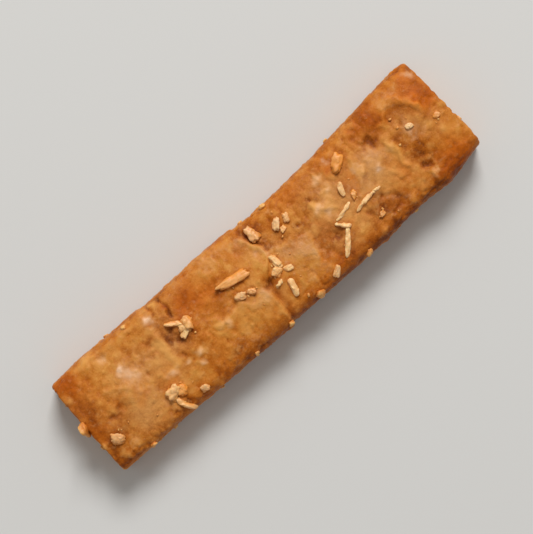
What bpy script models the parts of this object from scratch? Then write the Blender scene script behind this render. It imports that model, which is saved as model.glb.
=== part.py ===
"""A short, flat grissini breadstick: a bar of folded dough, cut square at both ends and baked brown,
with grated hard cheese, seeds and crumbs baked onto it.

Metres, +Z up. The bar lies along X on its flat base, and the origin is the middle of that base.
"""

import math
import random

import bmesh
import bpy
import numpy as np
from mathutils import Matrix, Vector, noise
from mathutils.bvhtree import BVHTree

MM = 0.001

# The bar of dough
LENGTH = 0.0917
WIDTH = 0.0217
THICKNESS = 0.0096
# Its two long edges, each a smooth curve through points in millimetres: along the bar, across it
UPPER_EDGE = (
    (-46.0, 11.4),
    (-40.0, 11.4),
    (-30.0, 10.8),
    (-15.0, 10.4),
    (-5.0, 10.2),
    (1.0, 9.7),
    (12.0, 9.3),
    (25.0, 9.9),
    (40.0, 10.9),
    (46.0, 11.0),
)
LOWER_EDGE = (
    (-46.0, -10.2),
    (-30.0, -10.5),
    (-10.0, -11.1),
    (5.0, -11.5),
    (20.0, -11.8),
    (31.0, -11.4),
    (37.0, -11.8),
    (42.0, -11.0),
    (46.0, -10.4),
)
END_SKEW = 0.007  # how much longer the lower edge is than the middle, as a share
EDGE_WAVE = 0.00020  # waviness of the long edges
EDGE_WAVE_LENGTH = 0.006
DOME = 0.0008  # how much lower the top is at its long edges
SWELL = 0.00045  # unevenness of the thickness
SWELL_LENGTH = 0.012
END_TAPER = 0.05  # share of the thickness that the knife pressed out at each end
END_TAPER_LENGTH = 0.0045

# Rounding of its edges: along the top, along the base, and round each cut end
TOP_ROUND_Y = 0.0024
TOP_ROUND_Z = 0.0028
BASE_ROUND_Y = 0.0012
BASE_ROUND_Z = 0.0011
END_ROUND = 0.0005
ROUND_SEGMENTS = 3
CELL = 0.0015  # size of the mesh's squares

# The flap: the free edge of the folded dough, a slanting line across the top with a round lobe in it
FLAP_X = -0.0017  # where the line crosses the middle of the bar
FLAP_SLANT = 0.143
LOBE_REACH = 0.0033
LOBE_Y = 0.0020
LOBE_WIDTHS = (0.0031, 0.0043)  # to -Y and to +Y of its tip
FLAP_STEP = 0.00050
FLAP_FADE = 0.012  # how far behind its edge the flap has sunk into the bar
FLAP_WEAKENS = (-0.002, 0.008)  # places across the bar between which its step gets lower
FLAP_WEAKENED = 0.5
GROOVE_WEAKENS = (-0.004, 0.001)  # the same for the groove in front of it
GROOVE_WEAKENED = 0.15
GROOVE_DEPTH = 0.00030
GROOVE_WIDTH = 0.0005
GROOVE_AHEAD = 0.0004
# The fold: where an inner turn of the dough shows through
FOLD_X = -0.0237
FOLD_START = (-0.0050, 0.0010)  # where it begins, across the bar
FOLD_STEP = 0.00030
FOLD_FADE = 0.010
FOLD_WANDER = 0.0006
FOLD_WANDER_LENGTH = 0.004
STEP_WIDTH = 0.0005  # over which a step of either rises
RELIEF_FROM = (0.0012, 0.0035)  # heights between which the relief sets in

# Blisters of the crust, in millimetres: along the bar, across it, radius, height; sunk where below 0
BLISTERS = (
    (-35.5, 1.0, 6.0, 0.35),
    (-37.0, 9.6, 1.8, 0.25),
    (-1.2, 1.4, 3.2, 0.25),
    (6.6, -2.8, 3.4, 0.30),
    (28.4, 0.4, 3.0, 0.30),
    (40.3, 3.0, 2.4, 0.30),
    (41.5, -4.0, 2.6, 0.25),
    (36.3, -9.5, 2.0, 0.35),
    (12.3, -3.5, 3.0, -0.30),
    (25.5, -7.2, 3.4, -0.25),
    (36.2, -5.4, 1.8, -0.35),
    (-22.0, 1.5, 2.2, -0.25),
    (31.0, 5.0, 2.2, -0.20),
)

# Toppings, in millimetres: along the bar, across it, length, width, turn in degrees
SHREDS = (
    (22.9, -3.4, 6.6, 0.9, 5),
    (17.8, -2.3, 4.4, 0.9, 13),
    (14.5, -7.1, 5.8, 1.1, 46),
    (16.0, -4.1, 3.2, 1.0, -47),
    (20.3, 1.2, 2.9, 1.2, 68),
    (1.2, -6.3, 3.7, 1.45, 74),
    (-0.3, -4.0, 1.9, 0.9, 15),
    (-6.7, 2.7, 6.6, 2.0, -13),
    (-20.2, 4.1, 3.8, 1.1, -38),
    (-28.9, -8.8, 4.4, 1.1, -65),
)
SEEDS = (
    (2.4, 6.6, 3.2, 2.3, 88),
    (-42.6, -4.8, 2.8, 2.2, -35),
    (-28.9, -5.6, 2.9, 2.6, 10),
    (-27.4, -6.1, 2.3, 1.9, 40),
    (23.3, 5.2, 4.3, 2.4, 28),
    (-24.0, -9.1, 1.9, 1.6, -20),
    (-18.2, 2.7, 2.8, 2.3, 60),
    (-19.8, 1.4, 2.0, 1.5, 30),
    (-19.1, 2.2, 2.2, 1.9, -20),
    (-7.4, -0.9, 2.7, 1.8, -35),
    (-5.0, -1.5, 1.9, 1.6, -60),
    (1.0, -2.0, 2.3, 1.9, 20),
    (2.0, -0.2, 2.7, 1.6, 85),
    (1.9, -1.6, 1.5, 1.2, 0),
    (2.9, -2.9, 2.1, 1.1, -20),
    (6.9, 4.9, 2.7, 1.8, 55),
    (7.2, 3.1, 1.4, 1.1, 10),
    (9.1, 4.4, 1.9, 1.5, 70),
    (9.3, -9.9, 2.5, 1.4, 30),
    (21.5, -1.1, 1.9, 1.3, 85),
    (23.0, -7.6, 1.3, 1.1, 0),
    (38.0, 1.1, 1.7, 1.4, 0),
    (43.0, -0.8, 1.6, 1.1, 15),
)
# Crumbs on the long edges and the ends, in millimetres: along, across, height, size
EDGE_CRUMBS = (
    (-46.6, 1.0, 9.4, 2.9),
    (-45.9, -4.0, 7.4, 1.3),
    (-38.7, -11.2, 8.4, 1.6),
    (-12.5, -11.6, 8.6, 1.4),
    (-4.0, -11.6, 8.8, 1.5),
    (4.1, -11.6, 9.2, 2.1),
    (16.2, -12.4, 8.6, 1.7),
    (-27.7, 10.0, 8.8, 1.3),
    (7.2, 9.3, 8.2, 1.4),
    (46.0, -4.2, 6.5, 1.3),
    (-31.5, 10.8, 4.6, 1.2),
    (24.6, 10.2, 5.2, 1.3),
    (2.0, 9.8, 3.4, 1.1),
    (-21.8, -10.8, 5.3, 1.1),
    (-33.6, -10.6, 3.8, 1.2),
    (28.5, -11.4, 4.4, 1.2),
    (45.9, 4.5, 4.5, 1.3),
    (-45.9, 7.1, 3.2, 1.5),
    (-45.9, -0.4, 5.6, 1.4),
)
CRUMB_FLATNESS = 0.85
TOPPING_DEPTH = 0.62  # how thick a topping is, as a share of its width
SHRED_LIFT = 0.20  # how far a shred's middle stands above the crust, as a share of its width
SEED_LIFT = 0.12  # the same for seeds and crumbs
SHRED_BEND = 0.12
SHRED_THIN = 0.4  # how much thinner a shred is at its ends
LARGE_SEED = 2.6 * MM
JITTER = 0.19  # unevenness of the toppings' skins
SEED = 21
CREASE_ANGLE = 35  # degrees


def clear_scene():
    for item in list(bpy.data.objects):
        bpy.data.objects.remove(item, do_unlink=True)


def new_collection(name):
    collection = bpy.data.collections.new(name)
    bpy.context.scene.collection.children.link(collection)
    return collection


def baked_crust():
    material = bpy.data.materials.new("baked_crust")
    material.use_nodes = True
    shader = material.node_tree.nodes["Principled BSDF"]
    shader.inputs["Base Color"].default_value = (0.49, 0.18, 0.041, 1.0)
    shader.inputs["Roughness"].default_value = 0.48
    shader.inputs["Metallic"].default_value = 0.0
    return material


def smooth_step(low, high, value):
    share = min(max((value - low) / (high - low), 0.0), 1.0)
    return share * share * (3 - 2 * share)


def wave(x, y, z, size):
    """Smooth noise from -1 to 1, with bumps of about the given size."""
    return noise.noise(Vector((x, y, z)) / size)


def cut_places(low, high, round_low, round_high):
    """Where the mesh is cut along one axis: a few cuts in each rounding, and even cells between."""
    inner_low, inner_high = low + round_low, high - round_high
    cells = math.ceil((inner_high - inner_low) / CELL)
    places = [inner_low + (inner_high - inner_low) * i / cells for i in range(cells + 1)]
    for i in range(1, ROUND_SEGMENTS):
        places.append(low + round_low * i / ROUND_SEGMENTS)
        places.append(high - round_high * i / ROUND_SEGMENTS)
    return places


def gridded_box():
    """A box on the ground of the bar's outer size, cut into cells."""
    box = bmesh.new()
    size = Vector((LENGTH, WIDTH, THICKNESS))
    middle = Matrix.Translation((0, 0, THICKNESS / 2))
    bmesh.ops.create_cube(box, size=1.0, matrix=middle @ Matrix.Diagonal((*size, 1)))
    cuts = (
        cut_places(-LENGTH / 2, LENGTH / 2, END_ROUND, END_ROUND),
        cut_places(-WIDTH / 2, WIDTH / 2, TOP_ROUND_Y, TOP_ROUND_Y),
        cut_places(0.0, THICKNESS, BASE_ROUND_Z, TOP_ROUND_Z),
    )
    for axis, places in enumerate(cuts):
        normal = Vector((0, 0, 0))
        normal[axis] = 1.0
        for place in places:
            geometry = box.verts[:] + box.edges[:] + box.faces[:]
            bmesh.ops.bisect_plane(box, geom=geometry, plane_co=normal * place, plane_no=normal)
    return box


def rounded_section(y, z):
    """Moves a point of the box's section, with z from its middle, onto the section with rounded corners."""
    upper = z > 0
    round_y = TOP_ROUND_Y if upper else BASE_ROUND_Y
    round_z = TOP_ROUND_Z if upper else BASE_ROUND_Z
    core_y = WIDTH / 2 - round_y
    core_z = THICKNESS / 2 - round_z
    core = Vector((min(max(y, -core_y), core_y), min(max(z, -core_z), core_z)))
    out = Vector(((y - core.x) / round_y, (z - core.y) / round_z)).normalized()
    return Vector((core.x + out.x * round_y, core.y + out.y * round_z))


def rounded(point):
    """Moves a point of the box's surface onto the box with rounded edges.

    A point of a section is a share, from 0 in the middle to 1 on the outline, of a place on the outline.
    """
    z = point.z - THICKNESS / 2
    share = max(abs(point.y) / (WIDTH / 2), abs(z) / (THICKNESS / 2))
    if share == 0:
        return point.copy()
    outline = rounded_section(point.y / share, z / share)
    round_share = END_ROUND / outline.length
    core_x = LENGTH / 2 - END_ROUND
    beyond_x = max(abs(point.x) - core_x, 0) / END_ROUND
    beyond_share = max(share - (1 - round_share), 0) / round_share
    out = Vector((beyond_x, beyond_share)).normalized()
    x = math.copysign(min(abs(point.x), core_x) + out.x * END_ROUND, point.x)
    share = min(share, 1 - round_share) + out.y * round_share
    return Vector((x, outline.x * share, outline.y * share + THICKNESS / 2))


def curve_at(points, x):
    """Height at x of the smooth curve through points in millimetres."""
    places, heights = np.array(points).T * MM
    slopes = np.gradient(heights, places)
    i = int(np.clip(np.searchsorted(places, x) - 1, 0, len(places) - 2))
    step = places[i + 1] - places[i]
    t = (x - places[i]) / step
    start = (1 - t) ** 2 * ((1 + 2 * t) * heights[i] + t * step * slopes[i])
    end = t**2 * ((3 - 2 * t) * heights[i + 1] - (1 - t) * step * slopes[i + 1])
    return float(start + end)


def crown(x, across):
    """Height of the top at x, where across goes from -1 to 1 over the width."""
    to_end = (LENGTH / 2 - abs(x)) / END_TAPER_LENGTH
    pressed = END_TAPER * (1 - smooth_step(0.0, 1.0, to_end))
    swell = SWELL * wave(x, across * WIDTH / 2, 0.02, SWELL_LENGTH)
    return THICKNESS * (1 - pressed) - DOME * across**2 + swell


def shaped(point):
    """Moves a point of the rounded box onto the uneven bar, between its two long edges."""
    across = 2 * point.y / WIDTH
    upper = curve_at(UPPER_EDGE, point.x)
    lower = curve_at(LOWER_EDGE, point.x)
    edge_wave = EDGE_WAVE * wave(point.x, math.copysign(0.05, point.y), 0.0, EDGE_WAVE_LENGTH)
    return Vector((
        point.x * (1 - END_SKEW * across),
        (upper + lower) / 2 + across * ((upper - lower) / 2 + edge_wave),
        point.z / THICKNESS * crown(point.x, across),
    ))


def step_down(ahead, fade):
    """1 just behind an edge and 0 ahead of it, sinking away behind it over the length fade."""
    over_edge = smooth_step(-STEP_WIDTH / 2, STEP_WIDTH / 2, ahead)
    return (1 - over_edge) * math.exp(min(ahead, 0) / fade)


def flap_relief(x, y):
    """The step of the flap: raised behind its edge, with a groove in front of it."""
    lobe_width = LOBE_WIDTHS[0] if y < LOBE_Y else LOBE_WIDTHS[1]
    lobe = LOBE_REACH * math.exp(-(((y - LOBE_Y) / lobe_width) ** 2))
    ahead = x - (FLAP_X + FLAP_SLANT * y + lobe)
    strength = 1 - (1 - FLAP_WEAKENED) * smooth_step(*FLAP_WEAKENS, y)
    groove_strength = 1 - (1 - GROOVE_WEAKENED) * smooth_step(*GROOVE_WEAKENS, y)
    groove = math.exp(-(((ahead - GROOVE_AHEAD) / GROOVE_WIDTH) ** 2))
    step = FLAP_STEP * strength * step_down(ahead, FLAP_FADE)
    return step - GROOVE_DEPTH * groove_strength * groove


def fold_relief(x, y):
    """The lower step of the fold, strongest at +Y."""
    ahead = x - FOLD_X - FOLD_WANDER * wave(0.0, y, 0.03, FOLD_WANDER_LENGTH)
    return smooth_step(*FOLD_START, y) * FOLD_STEP * step_down(ahead, FOLD_FADE)


def blister_relief(x, y):
    """The low blisters and hollows of the crust's top."""
    height = 0
    for along, across, radius, rise in BLISTERS:
        apart = math.hypot(x - along * MM, y - across * MM) / (radius * MM)
        height += rise * MM * math.exp(-(apart**2))
    return height


def relief(point):
    """How far the crust stands out from the smooth bar at a point of it."""
    x, y, z = point
    top = flap_relief(x, y) + fold_relief(x, y) + blister_relief(x, y)
    return smooth_step(*RELIEF_FROM, z) * top


def dissolve_base(box):
    """Makes the flat base one face."""
    flat = 1e-6
    base = [f for f in box.faces if max(v.co.z for v in f.verts) < flat]
    inner = [e for e in box.edges if all(f in base for f in e.link_faces)]
    bmesh.ops.dissolve_edges(box, edges=inner, use_verts=True)


def build_bar(collection, material):
    """The bar of dough, a closed mesh that rests on its flat base."""
    box = gridded_box()
    for vertex in box.verts:
        vertex.co = shaped(rounded(vertex.co))
    box.normal_update()
    moves = [vertex.normal * relief(vertex.co) for vertex in box.verts]
    for vertex, move in zip(box.verts, moves):
        vertex.co += move
    dissolve_base(box)
    mesh = bpy.data.meshes.new("breadstick")
    box.to_mesh(mesh)
    box.free()
    bar = bpy.data.objects.new("breadstick", mesh)
    bar.data.materials.append(material)
    collection.objects.link(bar)
    return bar


def landing(surface, guess, turn, lift):
    """Where a topping lies: on the crust nearest to the guess, turned about the crust's normal and lifted."""
    place, normal, _, _ = surface.find_nearest(guess)
    upright = Vector((0, 0, 1)).rotation_difference(normal).to_matrix().to_4x4()
    return Matrix.Translation(place + normal * lift) @ upright @ Matrix.Rotation(turn, 4, "Z")


def jittered(shape, draw, amount):
    for vertex in shape.verts:
        vertex.co += Vector(draw.uniform(-amount, amount) for _ in range(3))


def shred_shape(length, width, draw):
    """A grated shred: a bent bar that thins towards its ends."""
    shape = bmesh.new()
    bmesh.ops.create_cube(shape, size=1.0)
    for place in (-0.2, 0.2):
        geometry = shape.verts[:] + shape.edges[:] + shape.faces[:]
        bmesh.ops.bisect_plane(shape, geom=geometry, plane_co=(place, 0, 0), plane_no=(1, 0, 0))
    bend = draw.uniform(-SHRED_BEND, SHRED_BEND) * length
    for vertex in shape.verts:
        along = 2 * vertex.co.x
        thin = 1 - SHRED_THIN * along**2
        vertex.co.x *= length
        vertex.co.y = vertex.co.y * width * thin + bend * along**2
        vertex.co.z *= width * TOPPING_DEPTH * thin
    jittered(shape, draw, JITTER * width / 2)
    return shape


def seed_shape(length, width, draw):
    """A seed or crumb: a flattened ball with an uneven skin."""
    fineness = 2 if length > LARGE_SEED else 1
    shape = bmesh.new()
    bmesh.ops.create_icosphere(shape, subdivisions=fineness, radius=0.5)
    jittered(shape, draw, JITTER / 2 / fineness)
    bmesh.ops.scale(shape, vec=(length, width, width * TOPPING_DEPTH), verts=shape.verts)
    return shape


def add_topping(collection, name, shape, matrix):
    shape.transform(matrix)
    mesh = bpy.data.meshes.new(name)
    shape.to_mesh(mesh)
    shape.free()
    collection.objects.link(bpy.data.objects.new(name, mesh))


def top_guess(along, across):
    """A point just above the top of the bar."""
    return Vector((along * MM, across * MM, THICKNESS))


def lay_toppings(collection, surface):
    """Shreds, seeds and crumbs, each sunk a little into the crust."""
    draw = random.Random(SEED)
    for number, (along, across, length, width, turn) in enumerate(SHREDS):
        lift = SHRED_LIFT * width * MM
        matrix = landing(surface, top_guess(along, across), math.radians(turn), lift)
        shape = shred_shape(length * MM, width * MM, draw)
        add_topping(collection, f"shred_{number}", shape, matrix)
    for number, (along, across, length, width, turn) in enumerate(SEEDS):
        lift = SEED_LIFT * width * MM
        matrix = landing(surface, top_guess(along, across), math.radians(turn), lift)
        shape = seed_shape(length * MM, width * MM, draw)
        add_topping(collection, f"seed_{number}", shape, matrix)
    for number, (along, across, height, size) in enumerate(EDGE_CRUMBS):
        guess = Vector((along, across, height)) * MM
        matrix = landing(surface, guess, draw.uniform(0, math.pi), SEED_LIFT * size * MM)
        shape = seed_shape(size * MM, CRUMB_FLATNESS * size * MM, draw)
        add_topping(collection, f"crumb_{number}", shape, matrix)


def fuse(bar, toppings):
    """Joins the toppings to the bar as one closed body."""
    union = bar.modifiers.new("fuse_toppings", "BOOLEAN")
    union.operation = "UNION"
    union.operand_type = "COLLECTION"
    union.collection = toppings
    union.solver = "EXACT"
    graph = bpy.context.evaluated_depsgraph_get()
    fused = bpy.data.meshes.new_from_object(bar.evaluated_get(graph))
    bar.modifiers.clear()
    bar.data = fused
    for item in list(toppings.objects):
        bpy.data.objects.remove(item, do_unlink=True)
    bpy.data.collections.remove(toppings)


def main():
    clear_scene()
    part = new_collection("grissini_breadstick")
    toppings = new_collection("toppings")
    bar = build_bar(part, baked_crust())
    bpy.context.view_layer.update()
    surface = BVHTree.FromObject(bar, bpy.context.evaluated_depsgraph_get())
    lay_toppings(toppings, surface)
    bpy.context.view_layer.update()
    fuse(bar, toppings)
    bar.data.shade_smooth()
    bar.data.set_sharp_from_angle(angle=math.radians(CREASE_ANGLE))


main()
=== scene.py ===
"""The looks of a short, flat grissini breadstick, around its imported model.

Metres, +Z up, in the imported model's frame: the bar lies along X on its flat base. One fine mesh stands
for the crust, and three more hold the grated cheese, the seeds and the crumbs that are baked onto it.
"""

import math
import random

import bmesh
import bpy
import numpy as np
from mathutils import Matrix, Vector, noise
from mathutils.bvhtree import BVHTree


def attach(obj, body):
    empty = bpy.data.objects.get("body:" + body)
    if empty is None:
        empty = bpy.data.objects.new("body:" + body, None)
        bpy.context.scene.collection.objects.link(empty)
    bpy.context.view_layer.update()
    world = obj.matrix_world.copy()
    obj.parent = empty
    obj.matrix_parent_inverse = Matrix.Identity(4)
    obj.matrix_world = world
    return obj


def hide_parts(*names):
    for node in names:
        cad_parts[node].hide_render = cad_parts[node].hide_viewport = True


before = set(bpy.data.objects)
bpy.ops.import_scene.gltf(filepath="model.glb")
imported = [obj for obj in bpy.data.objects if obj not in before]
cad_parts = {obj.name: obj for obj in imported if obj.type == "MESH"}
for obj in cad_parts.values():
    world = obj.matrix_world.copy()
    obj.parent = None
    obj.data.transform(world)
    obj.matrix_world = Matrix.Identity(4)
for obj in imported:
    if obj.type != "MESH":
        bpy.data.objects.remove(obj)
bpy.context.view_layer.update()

MM = 0.001
TINY = 1e-9  # keeps a divisor from being nought

# The bar of dough, with the same values as the solid that this mesh replaces
LENGTH = 0.0917
WIDTH = 0.0217
THICKNESS = 0.0096
# Its two long edges, each a smooth curve through points in millimetres: along the bar, across it
UPPER_EDGE = (
    (-46, 11.4), (-40, 11.4), (-30, 10.8), (-15, 10.4), (-5, 10.2), (1, 9.7), (12, 9.3), (25, 9.9),
    (40, 10.9), (46, 11),
)
LOWER_EDGE = (
    (-46, -10.2), (-30, -10.5), (-10, -11.1), (5, -11.5), (20, -11.8), (31, -11.4), (37, -11.8),
    (42, -11), (46, -10.4),
)
END_SKEW = 0.007
EDGE_WAVE = 0.00020
EDGE_WAVE_LENGTH = 0.006
DOME = 0.0008
SWELL = 0.00045
SWELL_LENGTH = 0.012
END_TAPER = 0.05
END_TAPER_LENGTH = 0.0045
TOP_ROUND_Y = 0.0024
TOP_ROUND_Z = 0.0028
BASE_ROUND_Y = 0.0012
BASE_ROUND_Z = 0.0011
END_ROUND = 0.0005

# The flap and the fold, as in the solid
FLAP_X = -0.0017
FLAP_SLANT = 0.143
LOBE_REACH = 0.0033
LOBE_Y = 0.0020
LOBE_WIDTHS = (0.0031, 0.0043)
FLAP_STEP = 0.00050
FLAP_FADE = 0.012
FLAP_WEAKENS = (-0.002, 0.008)
FLAP_WEAKENED = 0.5
GROOVE_WEAKENS = (-0.004, 0.001)
GROOVE_WEAKENED = 0.15
GROOVE_DEPTH = 0.00030
GROOVE_WIDTH = 0.0005
GROOVE_AHEAD = 0.0004
FOLD_X = -0.0237
FOLD_START = (-0.0050, 0.0010)
FOLD_STEP = 0.00030
FOLD_FADE = 0.010
FOLD_WANDER = 0.0006
FOLD_WANDER_LENGTH = 0.004
STEP_WIDTH = 0.0005
RELIEF_FROM = (0.0012, 0.0035)

# Blisters, in millimetres: along the bar, across it, radius, height; sunk where below 0
BLISTERS = (
    (-35.5, 1, 6, 0.35), (-37, 9.6, 1.8, 0.25), (-1.2, 1.4, 3.2, 0.25), (6.6, -2.8, 3.4, 0.3),
    (28.4, 0.4, 3, 0.3), (40.3, 3, 2.4, 0.3), (41.5, -4, 2.6, 0.25), (36.3, -9.5, 2, 0.35),
    (12.3, -3.5, 3, -0.3), (25.5, -7.2, 3.4, -0.25), (36.2, -5.4, 1.8, -0.35), (-22, 1.5, 2.2, -0.25),
    (31, 5, 2.2, -0.2),
)
# Smaller ones, too fine for the solid
SMALL_BLISTERS = (
    (-1.3, -2.4, 1.1, -0.3), (35.8, -6.1, 0.8, -0.45), (13.7, -4.6, 0.8, -0.3), (-27.5, -9, 1.1, -0.3),
    (-34.6, 9.5, 1.1, -0.25), (-22, 3.4, 1.1, -0.28), (-21, 1.1, 0.9, -0.25), (-22.7, -1.7, 0.6, -0.2),
    (-20.2, -8.3, 0.7, -0.2), (-30.5, -8.8, 0.6, -0.22), (-33.3, 4, 1.1, 0.24),
    (-29.8, 0.4, 0.6, -0.24), (-26.4, 4.6, 0.7, -0.18), (-37.6, -0.8, 0.8, -0.22), (-24, 8, 0.9, 0.16),
    (-26.7, -2.8, 1.2, 0.14), (-20.3, -3.2, 0.7, 0.14), (-21.8, -5.2, 0.7, 0.12),
    (-43, -7.7, 0.8, 0.14), (-44.8, 6.8, 0.7, 0.14), (-45, -4, 0.6, 0.16), (11.4, -1.3, 0.8, 0.12),
    (18.2, 6, 1.2, 0.14), (14, 1.5, 1.2, 0.14), (28.6, 0.6, 1.8, 0.16), (32.6, 1, 0.8, 0.16),
    (42.3, -3.7, 0.9, 0.14), (-13, -2, 1, 0.18), (-9.2, 6.6, 1.4, 0.14), (-16.2, 4.8, 1.3, -0.16),
    (29.6, 4.2, 1.1, -0.4), (37.2, 4.6, 1.8, -0.22), (41, -1, 0.7, -0.2),
)
# Ridges and wrinkles: points of a line in millimetres, half width, height
RIDGES = (
    (((-38.5, 9), (-36.5, 10), (-33.5, 9.8), (-31, 9)), 0.7, 0.3),
    (((39.5, 5), (41, 3.5), (41.5, 1)), 0.6, 0.25),
    (((-0.6, 6.6), (0.6, 4.6), (1.3, 2.8)), 0.6, 0.26),
    (((0.3, 8.8), (0.9, 6.6), (1.7, 4.6), (2.6, 2.8)), 0.45, -0.24),
    (((-3.3, -9.5), (-3, -4.2)), 0.35, 0.12),
    (((35.5, -7.2), (35.9, -9.4)), 0.7, 0.32),
    (((25.5, 3.7), (25.6, 1.6), (23.4, -1.5)), 0.6, 0.3),
    (((32.8, 1.2), (33, -1.5), (32.9, -4.4)), 0.65, 0.38),
    (((34, 5), (36, 7.2), (38.5, 7.4), (40.8, 5.2), (41.4, 2.6)), 0.75, 0.42),
    (((-24.6, 4.8), (-24.2, 2.5), (-25, -0.5), (-25.3, -2.2)), 0.55, 0.14),
    (((13.6, 3.2), (14.8, 1.6), (16.4, 0.8), (17.6, -0.6)), 0.6, 0.32),
    (((17, 3.6), (18.3, 2)), 0.5, 0.18),
    (((18.9, 6.6), (19.6, 4.8), (21, 3.6)), 0.5, 0.16),
    (((10.8, -5.2), (11.6, -7.6), (11, -9.8)), 0.6, -0.2),
    (((26.2, -4.4), (27.4, -6), (27, -8.6)), 0.6, -0.2),
    (((21.2, -4.8), (21.8, -6.6), (21.4, -8.8)), 0.5, -0.18),
    (((29.6, -3), (30.4, -5), (30, -7.4)), 0.5, 0.16),
    (((-38.6, 3.4), (-36.4, 2.6), (-34.6, 0.6)), 0.6, 0.22),
    (((-41.2, -1.8), (-39.4, -2), (-38, 0.2)), 0.5, -0.28),
    (((-15.6, 1), (-12.6, 0.6), (-9.6, 0.9)), 0.6, -0.16),
    (((3.6, 1.8), (5.4, 1), (7.4, 1.4)), 0.6, 0.14),
    (((-19.6, 5.6), (-19.1, 7.4), (-19.3, 9.4)), 0.42, -0.38),
    (((-22, 7.9), (-21.6, 9.4), (-21.9, 10.8)), 0.4, -0.3),
    (((29.5, 4.5), (31.3, 4), (33.2, 4.8)), 0.7, -0.18),
    (((-2.9, 6.6), (-2.4, 6), (-1.7, 5.9)), 0.3, -0.16),
)
NAMED_GAIN = 1.3
# Painted shade along creases and painted highlight along lit rims: points in millimetres, half width, how
# much more baked (painted shade) or paler (painted highlight)
SHADE_AND_HIGHLIGHT_LINES = (
    (((-19.6, 5.4), (-19.1, 7.4), (-19.3, 9.6)), 0.5, 0.4),
    (((-22, 7.8), (-21.6, 9.4), (-21.9, 10.8)), 0.45, 0.28),
    (((-23.5, 5.2), (-23.3, 2), (-23.8, -1)), 0.7, 0.28),
    (((-24.7, 4.6), (-24.2, 1.5), (-25.2, -1.8)), 0.7, -0.1),
    (((0.2, 8.8), (0.8, 6.6), (1.8, 4.4), (2.8, 2.6)), 0.6, 0.16),
    (((-0.6, 6.6), (0.6, 4.4), (1.2, 2.2)), 0.6, -0.28),
    (((9.8, 1.4), (10.8, -1.4), (10.8, -4.2), (10, -6.4)), 0.8, 0.26),
    (((9.3, 0.6), (9.8, -2), (9.6, -4.4), (8.4, -6.2)), 0.6, -0.2),
    (((-17, -0.4), (-10, -0.8), (-5.2, -2.4)), 0.8, 0.16),
    (((-17, -1.9), (-10, -2.3), (-4, -3.9)), 0.7, -0.16),
    (((-3.4, -4.2), (-3.6, -10.6)), 0.5, -0.18),
    (((35.2, 5.2), (37.2, 6), (39.2, 4.8), (40, 2.4)), 0.8, 0.2),
    (((26.6, 3.4), (26.6, 1.4), (24.6, -1.4)), 0.7, 0.12),
    (((34.6, 0.8), (34.9, -2), (35, -5)), 0.8, 0.26),
    (((32.7, 1.2), (32.9, -1.5), (32.9, -4.2)), 0.6, -0.22),
    (((14.6, 4), (16.2, 2.4), (18.8, 0.6)), 0.7, 0.14),
    (((-41.2, -1.8), (-39.4, -2), (-38, 0.2)), 0.6, 0.24),
)
# The valley beside the flap, whose far side rises slowly
VALLEY_DEPTH = 0.00016
VALLEY_LENGTH = 0.0014
# The slab of the flap: raised below a line across the bar, in millimetres
SLAB_EDGE = (
    (-24, 0.5), (-17, -1.4), (-10, -1.7), (-5, -3.2), (-2.5, -3.5),
)
SLAB_STEP = 0.00022
SLAB_STEP_WIDTH = 0.0008
SLAB_FADE = 0.0045
SLAB_SPAN = (-0.024, -0.016)
# The blister that ends in a sharp arc
ARC_CENTRE = (5.9, -2.9)
ARC_RADIUS = 4.0
ARC_STEP = 0.00028
ARC_FADE = 0.0025
ARC_SPAN = (0.3, 0.8)  # cosines of the directions between which it sets in

# The fine mesh
COARSE_CELL = 0.0011
SPLITS = 3
# Scattered bumps and pores: how many, radius from and to, height from and to, in millimetres
BUMPS = (900, 0.7, 1.8, -0.12, 0.18)
GRAINS = (6000, 0.35, 0.75, -0.11, 0.13)
PORES = (380, 0.25, 0.55, -0.20, -0.06)
END_PORES = (150, 0.3, 0.7, -0.30, -0.10)
SCATTER_SEED = 7
# Layers in the cut ends, wrinkles of the skin and its roughness: height, size, length over width
LAYERS = 0.00024
LAYER_SIZE = 0.0007
LAYER_STRETCH = 7.0
WRINKLES = 0.00016
WRINKLE_SIZE = 0.0019
WRINKLE_STRETCH = 1.5
WRINKLE_WIDTH = 0.22  # of a valley, in heights of the noise
ROUGHNESS = 0.00003
ROUGHNESS_SIZE = 0.0006
# Where in the noise these forms are taken, so that no two look alike
EDGE_PLACE = 0.05
SWELL_PLACE = 0.02
FOLD_PLACE = 0.03
LAYER_PLACE = 0.02
WRINKLE_PLACE = 0.67
# Noises: where they are taken, size of their bumps, amount
WARP = ((0.61, 0.0060, 0.0010),)
WANDER_ALONG = ((0.53, 0.0032, 0.0011), (0.57, 0.0011, 0.0006))
WANDER_ACROSS = ((0.59, 0.0032, 0.0011), (0.63, 0.0011, 0.0006))
BAKE_NOISE = ((0.05, 0.0060, 0.10), (0.11, 0.0027, 0.14), (0.17, 0.0013, 0.18))
# Patches where a noise is high: where it is taken, size of its bumps, from and to which height, amount
WRINKLED = (0.71, 0.0080, -0.25, 0.35, 1.0)
RUST_PATCHES = (0.43, 0.0050, 0.05, 0.5, 0.30)
PALE_PATCHES = (0.31, 0.0022, 0.05, 0.5, 0.30)
# The pink patches are painted sheen: a pale haze where the lamp would gleam on the oily crust
PAINTED_SHEEN_PATCHES = (0.37, 0.0045, 0.1, 0.5, 0.15)
TAN_PATCHES = (0.49, 0.0070, 0.0, 0.5, 0.25)
# Which way the crust faces, by one part of its normal: from, to
FACES_UP = (0.2, 0.7)
FACES_DOWN = (0.3, 0.8)
FACES_END = (0.5, 0.9)
LAYERS_FACE = (0.6, 0.9)
END_PORES_FACE = 0.8
BASE_FLATTENS = (-0.2, -0.9)
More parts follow.
